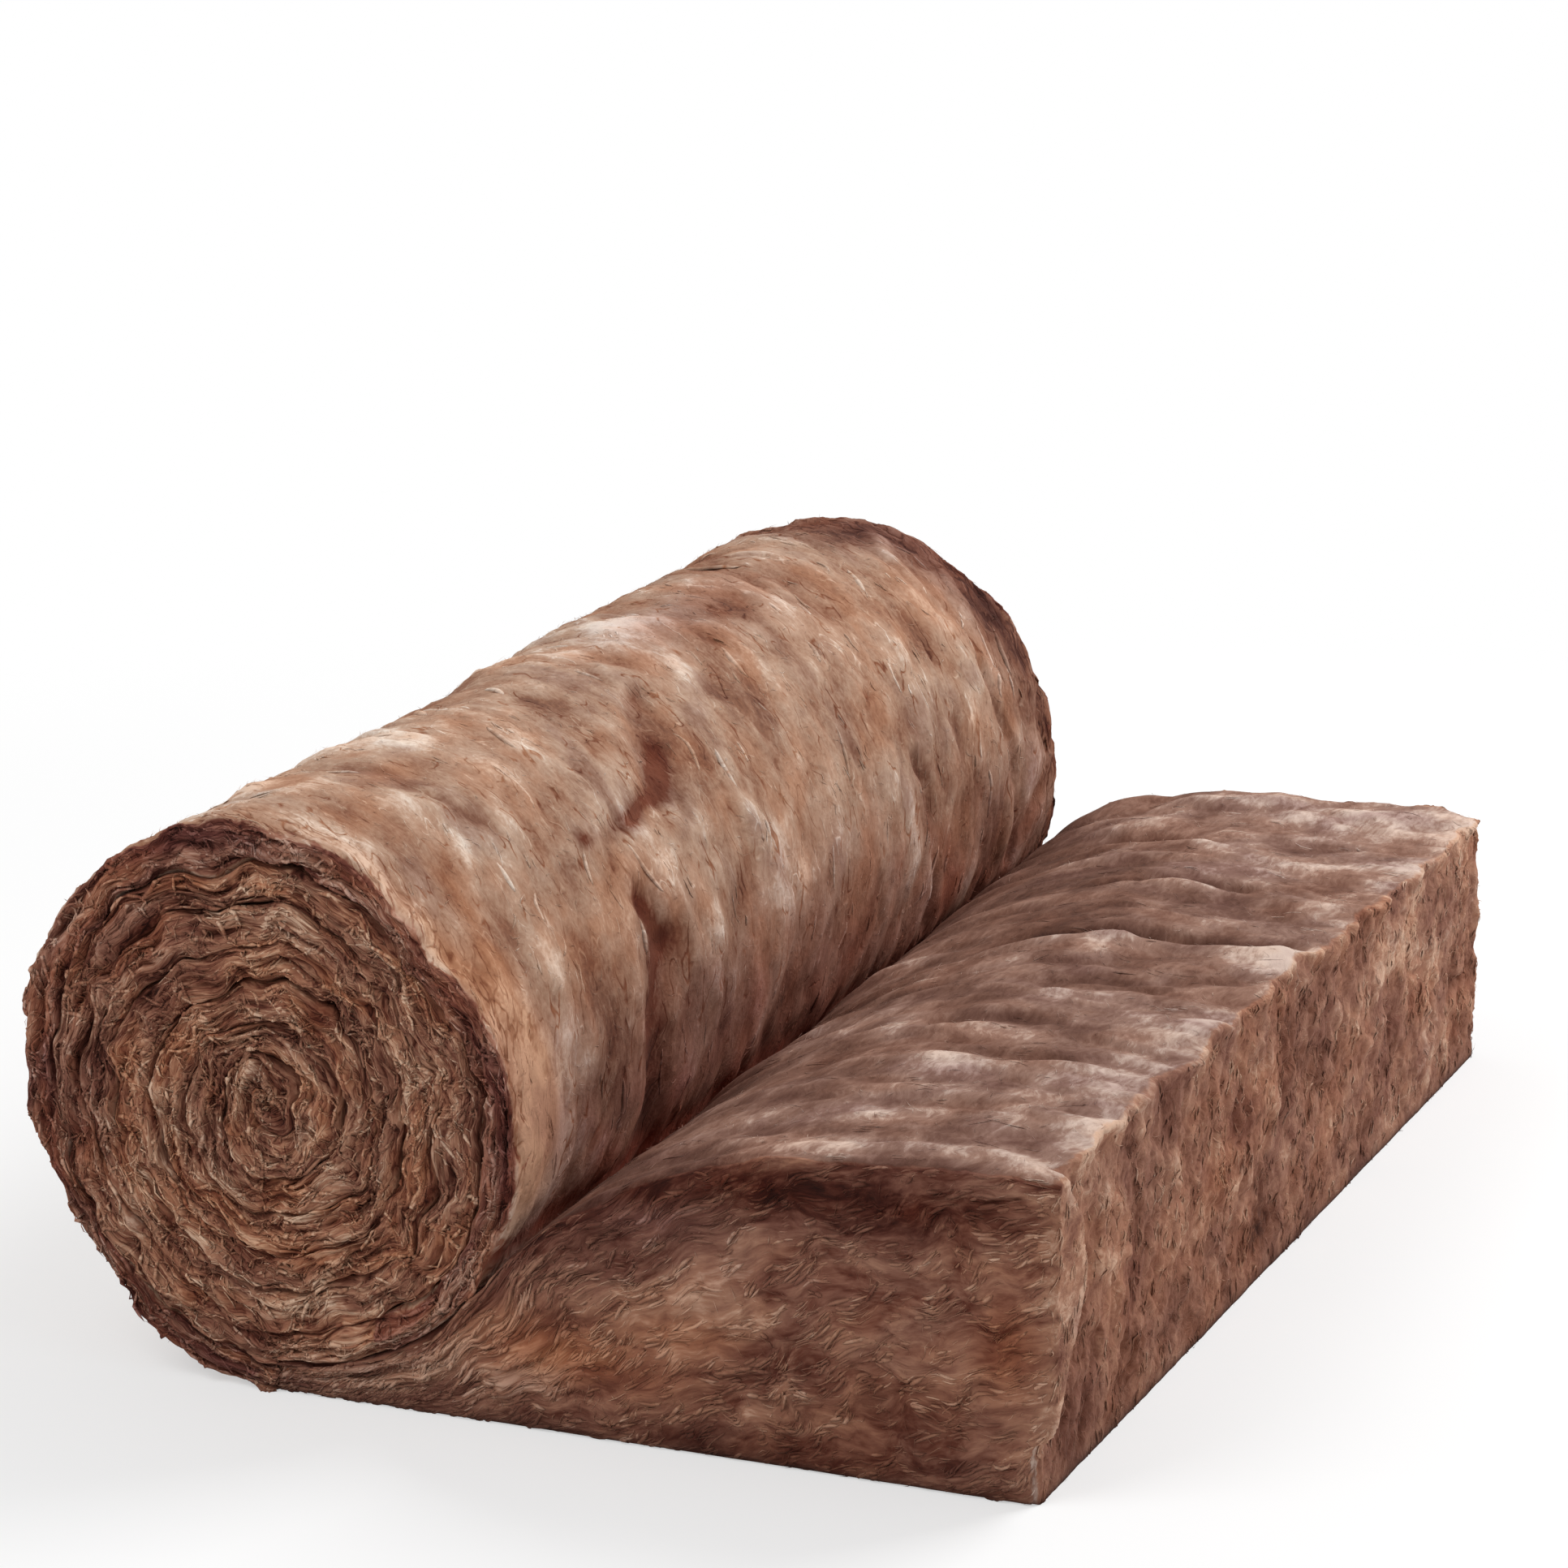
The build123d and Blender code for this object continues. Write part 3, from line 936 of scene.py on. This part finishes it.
# Glass wool bound with brown resin: matt felted fibres, which scatter light softly
glassWool = {
    # from the darkest shade to the lightest
    "colours": {
        "skin": [
            (0.14, "#55342a"), (0.34, "#835c48"), (0.50, "#a0806b"), (0.66, "#b69a86"), (0.88, "#e6d8ca"),
        ],
        "top": [
            (0.14, "#351c17"), (0.34, "#58392d"), (0.50, "#735346"), (0.68, "#957769"), (0.88, "#d6c2b4"),
        ],
        "end": [
            (0.12, "#2e100b"), (0.32, "#683b2e"), (0.50, "#91634f"), (0.68, "#b08369"), (0.88, "#dcbca2"),
        ],
        "side": [
            (0.12, "#33140f"), (0.32, "#64392c"), (0.50, "#89604f"), (0.68, "#a67d66"), (0.88, "#d2b19a"),
        ],
        "cut": [
            (0.12, "#38190f"), (0.32, "#6b4231"), (0.50, "#8f6553"), (0.68, "#ab836d"), (0.88, "#d8bca6"),
        ],
    },
    # noise patterns: size along the grain, through the plies and across, in metres; offset,
    # detail and roughness; and how much of it goes into the shade
    "patterns": {
        "felt": ((0.0048, 0.0048, 0.0040), 6.0, 2.0, 0.60, 0.30),
        "skinFibre": ((0.013, 0.020, 0.0042), 3.0, 3.0, 0.62, 0.22),
        "skinMottle": ((0.046, 0.060, 0.034), 0.0, 4.0, 0.58, 0.52),
        "skinSlot": ((0.050, 0.30, 0.022), 60.0, 1.5, 0.50, -0.17),
        "skinWisp": ((0.050, 0.30, 0.020), 80.0, 1.5, 0.50, 0.19),
        "skinFleck": ((0.017, 0.012, 0.0070), 90.0, 2.0, 0.50, -0.07),
        "rimCrack": ((0.034, 0.30, 0.0120), 120.0, 1.5, 0.50, -0.34),
        "topFelt": ((0.0052, 0.010, 0.0120), 6.0, 3.0, 0.65, 0.40),
        "topMottle": ((0.036, 0.060, 0.070), 12.0, 4.0, 0.60, 0.66),
        "endFibre": ((0.014, 0.0026, 0.004), 5.0, 3.0, 0.62, 0.60),
        "endStreak": ((0.034, 0.0090, 0.012), 0.0, 4.0, 0.62, 0.95),
        "endCrack": ((0.050, 0.0100, 0.020), 31.0, 2.0, 0.50, -0.22),
        "sideFibre": ((0.013, 0.0038, 0.005), 5.0, 3.0, 0.60, 0.42),
        "sideStreak": ((0.030, 0.0120, 0.020), 0.0, 4.0, 0.62, 0.74),
        "cutFibre": ((0.006, 0.010, 0.0042), 9.0, 3.0, 0.60, 0.42),
        "cutStreak": ((0.018, 0.028, 0.015), 0.0, 4.0, 0.60, 0.60),
        "patch": ((0.11, 0.07, 0.08), 7.0, 3.0, 0.55, 0.74),
        "hue": ((0.11, 0.07, 0.08), 17.0, 3.0, 0.60, 0.22),
    },
    # what brings each face's patterns to about nothing on average
    "middles": {"skin": 0.500, "top": 0.540, "end": 0.745, "side": 0.605, "cut": 0.50},
    "lightness": 0.21,
    # how much each painted mark lightens or darkens
    "marks": {
        "paintedHollowShade": -0.36, "tint": 1.0, "creamAndHighlight": 0.24, "lipAndHighlight": 0.17, "dark": -0.20, "ochre": 0.08,
        "rim": 0.05, "outerPly": 0.025, "redWoolAndShade": -0.05,
    },
    # colours that the wool's own is multiplied by
    "warmTint": "#e4b088",
    "coolTint": "#b49aa0",
    "ringTint": "#bda4b6",  # of the outermost ply's cut edge, a mauve ring
    # redder wool in the dents, partly painted shade
    "dentColourAndShadeTint": "#a06e5f",
    # painted shade on the flanks beside the crease, where the wool is also redder
    "flankShadeTint": "#c0786c",  # of the reddish flanks beside the crease
    # painted shade where the mat meets the floor
    "floorLineShadeTint": "#6c545c",  # of the dark line along the floor
    # and colours used as they are
    # painted shade deep in the crease, as a dark red-brown
    "nipShadeColour": "#8c3c2a",  # deep in the crease
    "sheenTint": "#d8a484",
}


# The same wool for every piece, with the patterns of the faces that the piece shows
def makeWoolMaterial(name, faces):
    patterns = glassWool["patterns"]
    material = bpy.data.materials.new(name)
    material.use_nodes = True
    tree = material.node_tree
    tree.nodes.clear()
    grain = addNode(tree, "ShaderNodeAttribute", {"attribute_name": "grain"}).outputs["Vector"]
    slanted = addNode(tree, "ShaderNodeAttribute", {"attribute_name": "slantedGrain"}).outputs["Vector"]

    def paint(name):
        return addNode(tree, "ShaderNodeAttribute", {"attribute_name": name}).outputs["Fac"]

    def mathNode(operation, *values, clamp=False):
        settings = {"operation": operation, "use_clamp": clamp}
        inputs = {f"i{i}": value for i, value in enumerate(values)}
        return addNode(tree, "ShaderNodeMath", settings, **inputs).outputs[0]

    def mixValue(factor, first, second):
        settings = {"data_type": "FLOAT"}
        return addNode(tree, "ShaderNodeMix", settings, i0=factor, i2=first, i3=second).outputs[0]

    def mixColour(factor, first, second, blend="MIX"):
        settings = {"data_type": "RGBA", "blend_type": blend}
        return addNode(tree, "ShaderNodeMix", settings, i0=factor, i6=first, i7=second).outputs[2]

    def remap(value, low, high, first, last):
        node = addNode(tree, "ShaderNodeMapRange", Value=value, i1=low, i2=high, i3=first, i4=last)
        return node.outputs[0]

    def noise(place, size, offset, detail, roughness):
        scale = tuple(1 / length for length in size)
        shift = (offset,) * 3
        spot = addNode(tree, "ShaderNodeMapping", Vector=place, Scale=scale, Location=shift).outputs[0]
        texture = addNode(
            tree, "ShaderNodeTexNoise", Vector=spot, Scale=1.0, Detail=detail, Roughness=roughness
        )
        return texture.outputs["Fac"]

    def patternOf(place, name):
        return noise(place, *patterns[name][:4])

    # a pattern, or what is made of it, by its weight on top of the shade so far
    def addTo(shade, name, value):
        return mathNode("MULTIPLY_ADD", value, patterns[name][4], shade)

    def mixedPatterns(place, first, *others):
        shade = mathNode("MULTIPLY", patternOf(place, first), patterns[first][4])
        for name in others:
            shade = addTo(shade, name, patternOf(place, name))
        return shade

    def tinted(colour, factor, tint):
        return mixColour(factor, colour, srgb(glassWool[tint]), "MULTIPLY")

    # locks curl, so the patterns are read at a swirled place
    spot = addNode(tree, "ShaderNodeMapping", Vector=grain, Scale=(20, 45, 25)).outputs[0]
    swirl = addNode(tree, "ShaderNodeTexNoise", Vector=spot, Scale=1.0, Detail=2.0, Roughness=0.55)
    settings = {"operation": "SUBTRACT"}
    off = addNode(
        tree, "ShaderNodeVectorMath", settings, i0=swirl.outputs["Color"], i1=(0.5, 0.5, 0.5)
    ).outputs[0]

    def curled(place, amount):
        settings = {"operation": "MULTIPLY_ADD"}
        return addNode(tree, "ShaderNodeVectorMath", settings, i0=off, i1=amount, i2=place).outputs[0]

    # 1 on thin winding lines, where the pattern passes through its middle, and 0 beside them
    def windingLines(place, name, width):
        off = mathNode("ABSOLUTE", mathNode("SUBTRACT", patternOf(place, name), 0.5))
        return remap(off, 0.0, width, 1.0, 0.0)

    # the same, but only here and there
    def thinLines(place, name, width, above):
        size, offset = patterns[name][:2]
        some = mathNode("MULTIPLY_ADD", paint("rim"), 0.10, noise(place, size, offset + 40.0, 1.0, 0.5))
        some = remap(some, above, above + 0.06, 0.0, 1.0)
        return mathNode("MULTIPLY", windingLines(place, name, width), some)

    calm = curled(slanted, (0.024, 0.012, 0.016))
    curly = curled(grain, (0.060, 0.030, 0.040))
    shades = {}
    if "skin" in faces:
        slot = thinLines(calm, "skinSlot", 0.024, 0.53)
        wisp = thinLines(calm, "skinWisp", 0.018, 0.54)
        fleck = remap(patternOf(calm, "skinFleck"), 0.65, 0.76, 0.0, 0.8)
        crack = mathNode("MULTIPLY", thinLines(calm, "rimCrack", 0.045, 0.44), paint("rim"))
        shade = addTo(mixedPatterns(calm, "felt", "skinFibre", "skinMottle"), "skinSlot", slot)
        shade = addTo(addTo(shade, "skinFleck", fleck), "rimCrack", crack)
        shades["skin"] = addTo(shade, "skinWisp", wisp)
    if "top" in faces:
        shades["top"] = mixedPatterns(calm, "topFelt", "topMottle")
    if "end" in faces:
        # with thin dark lines between the laminations
        lines = windingLines(curly, "endCrack", 0.035)
        shades["end"] = addTo(mixedPatterns(curly, "endFibre", "endStreak"), "endCrack", lines)
    if "side" in faces:
        combed = curled(slanted, (0.034, 0.014, 0.024))
        shades["side"] = mixedPatterns(combed, "sideFibre", "sideStreak")
    if "cut" in faces:
        shades["cut"] = mixedPatterns(curly, "cutFibre", "cutStreak")
    for face in faces:
        shades[face] = mathNode("SUBTRACT", shades[face], glassWool["middles"][face])

    # one face's wool overlaps the next one's with a ragged edge
    masks = {}
    height = shades[faces[0]]
    for face in faces[1:]:
        painted = paint("cutFace" if face == "cut" else "sideFace")
        onto = mathNode("MULTIPLY_ADD", shades[faces[0]], -1.4, painted)
        masks[face] = remap(onto, 0.36, 0.58, 0.0, 1.0)
        height = mixValue(masks[face], height, shades[face])
    patch = patternOf(slanted, "patch")
    hue = patternOf(slanted, "hue")
    shade = mathNode("ADD", height, glassWool["lightness"])
    shade = addTo(addTo(shade, "patch", patch), "hue", hue)
    for mark, amount in glassWool["marks"].items():
        shade = mathNode("MULTIPLY_ADD", paint(mark), amount, shade)
    colour = colourRamp(tree, shade, glassWool["colours"][faces[0]])
    for face in faces[1:]:
        colour = mixColour(masks[face], colour, colourRamp(tree, shade, glassWool["colours"][face]))

    # warm and cool patches, and the tints of single places
    flat = faces[0] == "top"
    warm = remap(hue, 0.48 if flat else 0.45, 0.62, 0.0, 0.35 if flat else 0.72)
    warmSpots = mathNode("MULTIPLY_ADD", paint("rim"), 0.4, paint("ochre"))
    warm = mathNode("MAXIMUM", warm, warmSpots, clamp=True)
    if "skin" in faces:
        onSkin = mathNode("SUBTRACT", 1.0, masks["end"], clamp=True)
        spots = mathNode("MULTIPLY", mathNode("MAXIMUM", slot, fleck), onSkin)
        warm = mathNode("MAXIMUM", warm, spots, clamp=True)
    if "cut" in faces:
        warm = mathNode("MULTIPLY_ADD", masks["cut"], 0.15, warm, clamp=True)
    colour = tinted(colour, mathNode("MULTIPLY", warm, 0.8), "warmTint")
    cool = remap(hue, 0.52 if flat else 0.46, 0.36, 0.12 if flat else 0.0, 0.65 if flat else 0.42)
    colour = tinted(colour, cool, "coolTint")
    ring = mathNode("MULTIPLY", paint("outerPly"), masks.get("end", paint("sideFace")))
    ring = mathNode("MULTIPLY", ring, remap(patch, 0.38, 0.60, 1.0, 0.45))
    ring = mathNode("MAXIMUM", ring, mathNode("MULTIPLY", paint("mauve"), 0.8), clamp=True)
    colour = tinted(colour, ring, "ringTint")
    # redder wool and painted shade in the dents, most in the low spots of the relief
    redAndShaded = mathNode("MULTIPLY", paint("redWoolAndShade"), remap(height, -0.10, 0.10, 1.1, 0.7), clamp=True)
    colour = tinted(colour, redAndShaded, "dentColourAndShadeTint")
    # painted shade, and redder wool, on the flanks beside the crease
    colour = tinted(colour, mathNode("MULTIPLY", paint("flankShade"), 0.85), "flankShadeTint")
    # painted shade in the crease, mixed towards a dark red-brown
    nipGrooveAndShade = mathNode("MULTIPLY", paint("nipGrooveAndShade"), 0.85)
    colour = mixColour(nipGrooveAndShade, colour, srgb(glassWool["nipShadeColour"]))
    # painted shade along the floor line
    colour = tinted(colour, paint("floorLineShade"), "floorLineShadeTint")
    bump = addNode(tree, "ShaderNodeBump", Height=height, Distance=0.004, Strength=0.6)
    bsdf = addNode(tree, "ShaderNodeBsdfPrincipled", Base_Color=colour, Normal=bump.outputs[0])
    bsdf.inputs["Roughness"].default_value = 0.95
    bsdf.inputs["Specular IOR Level"].default_value = 0.15
    bsdf.inputs["Sheen Weight"].default_value = 0.06
    bsdf.inputs["Sheen Roughness"].default_value = 0.6
    bsdf.inputs["Sheen Tint"].default_value = srgb(glassWool["sheenTint"])
    output = addNode(tree, "ShaderNodeOutputMaterial")
    tree.links.new(bsdf.outputs[0], output.inputs["Surface"])
    return material


# The camera that took the view, solved from the mat's corners
camera = {
    "place": (rollX + 1.8790, -4.1263, 1.5341),
    "target": (rollX + 0.1781, 0.0, 0.3596),
    "lens": 125.1,
    "sensor": 36.0,
}


# Turns an item's front, its -Z side, to the target
def aim(item, place, target):
    item.location = place
    item.rotation_euler = (Vector(target) - item.location).to_track_quat("-Z", "Y").to_euler()


def makeCamera():
    data = bpy.data.cameras.new("camera")
    data.lens = camera["lens"]
    data.sensor_width = camera["sensor"]
    data.clip_end = 100
    item = addItem("camera", data)
    aim(item, camera["place"], camera["target"])
    bpy.context.scene.camera = item


studio = {
    "floorSize": 80.0,
    "floorColour": "#f2f2f2",
    "whiteNear": 0.5,  # share of plain white in the floor that the camera sees under the object
    "whiteFrom": 1.0,  # beyond this far from the object it goes over to plain white
    "whiteTo": 2.2,
    "worldStrength": 0.50,
    "keyPlace": (1.9, 2.6, 3.2),
    "keySize": 2.2,
    "keyPower": 150.0,
    "fillPlace": (-1.6, -2.8, 3.6),
    "fillSize": 2.4,
    "fillPower": 75.0,
}


def makeLamp(name, place, size, power):
    data = bpy.data.lights.new(name, "AREA")
    data.size = size
    data.energy = power
    aim(addItem(name, data), place, (0, 0, 0.15))


# 1 for rays from the camera, also by way of gloss or glass, and 0 for light on the object
def seenByCamera(tree):
    path = addNode(tree, "ShaderNodeLightPath")
    seen = path.outputs["Is Camera Ray"]
    for other in ("Is Glossy Ray", "Is Transmission Ray"):
        node = addNode(tree, "ShaderNodeMath", {"operation": "MAXIMUM"}, i0=seen, i1=path.outputs[other])
        seen = node.outputs[0]
    return seen


def makeStudio():
    bm = bmesh.new()
    bmesh.ops.create_grid(bm, x_segments=1, y_segments=1, size=studio["floorSize"] / 2)
    mesh = bpy.data.meshes.new("floor")
    bm.to_mesh(mesh)
    bm.free()
    floor = addItem("floor", mesh)
    material = bpy.data.materials.new("matt_white_floor")
    material.use_nodes = True
    tree = material.node_tree
    bsdf = tree.nodes["Principled BSDF"]
    bsdf.inputs["Base Color"].default_value = srgb(studio["floorColour"])
    bsdf.inputs["Roughness"].default_value = 1.0
    bsdf.inputs["Specular IOR Level"].default_value = 0.0
    spot = addNode(tree, "ShaderNodeTexCoord").outputs["Object"]
    away = addNode(tree, "ShaderNodeVectorMath", {"operation": "LENGTH"}, i0=spot).outputs["Value"]
    far = addNode(
        tree, "ShaderNodeMapRange", {"interpolation_type": "SMOOTHSTEP"}, Value=away,
        i1=studio["whiteFrom"], i2=studio["whiteTo"], i3=studio["whiteNear"], i4=1.0,
    ).outputs[0]
    share = addNode(tree, "ShaderNodeMath", {"operation": "MULTIPLY"}, i0=far, i1=seenByCamera(tree))
    white = addNode(tree, "ShaderNodeEmission", Color=(1, 1, 1, 1), Strength=1.0)
    mix = addNode(tree, "ShaderNodeMixShader", i0=share.outputs[0], i1=bsdf.outputs[0], i2=white.outputs[0])
    tree.links.new(mix.outputs[0], tree.nodes["Material Output"].inputs["Surface"])
    mesh.materials.append(material)
    world = bpy.data.worlds.new("studio")
    world.use_nodes = True
    tree = world.node_tree
    tree.nodes.clear()
    sky = addNode(tree, "ShaderNodeBackground", Color=(1, 1, 1, 1), Strength=studio["worldStrength"])
    white = addNode(tree, "ShaderNodeBackground", Color=(1, 1, 1, 1), Strength=1.0)
    mix = addNode(
        tree, "ShaderNodeMixShader", i0=seenByCamera(tree), i1=sky.outputs[0], i2=white.outputs[0]
    )
    output = addNode(tree, "ShaderNodeOutputWorld")
    tree.links.new(mix.outputs[0], output.inputs["Surface"])
    bpy.context.scene.world = world
    makeLamp("key", studio["keyPlace"], studio["keySize"], studio["keyPower"])
    makeLamp("fill", studio["fillPlace"], studio["fillSize"], studio["fillPower"])
    bpy.context.scene.view_settings.view_transform = "Standard"


makeCamera()
makeStudio()
rollWool = makeWoolMaterial("glass_wool_roll", ("skin", "end"))
endWool = makeWoolMaterial("glass_wool_roll_end", ("end",))
flatWool = makeWoolMaterial("glass_wool_flat_end", ("top", "side", "cut"))
pieces = [
    (makeMat("outer_turn", outerTurn), rollWool),
    (makeMat("inner_turns", innerTurns), endWool),
    (makeMat("flat_mat", flatMat), flatWool),
]
for piece, wool in pieces:
    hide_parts("wool_mat")
lockWool = {"end": endWool, "skin": rollWool}
for name, plan in looseLocks.items():
    pieces.append((makeLocks(name, plan), lockWool.get(plan["face"], flatWool)))
for piece, wool in pieces:
    piece.data.materials.clear()
    piece.data.materials.append(wool)
    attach(piece, "root")

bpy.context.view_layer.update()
report("finished")
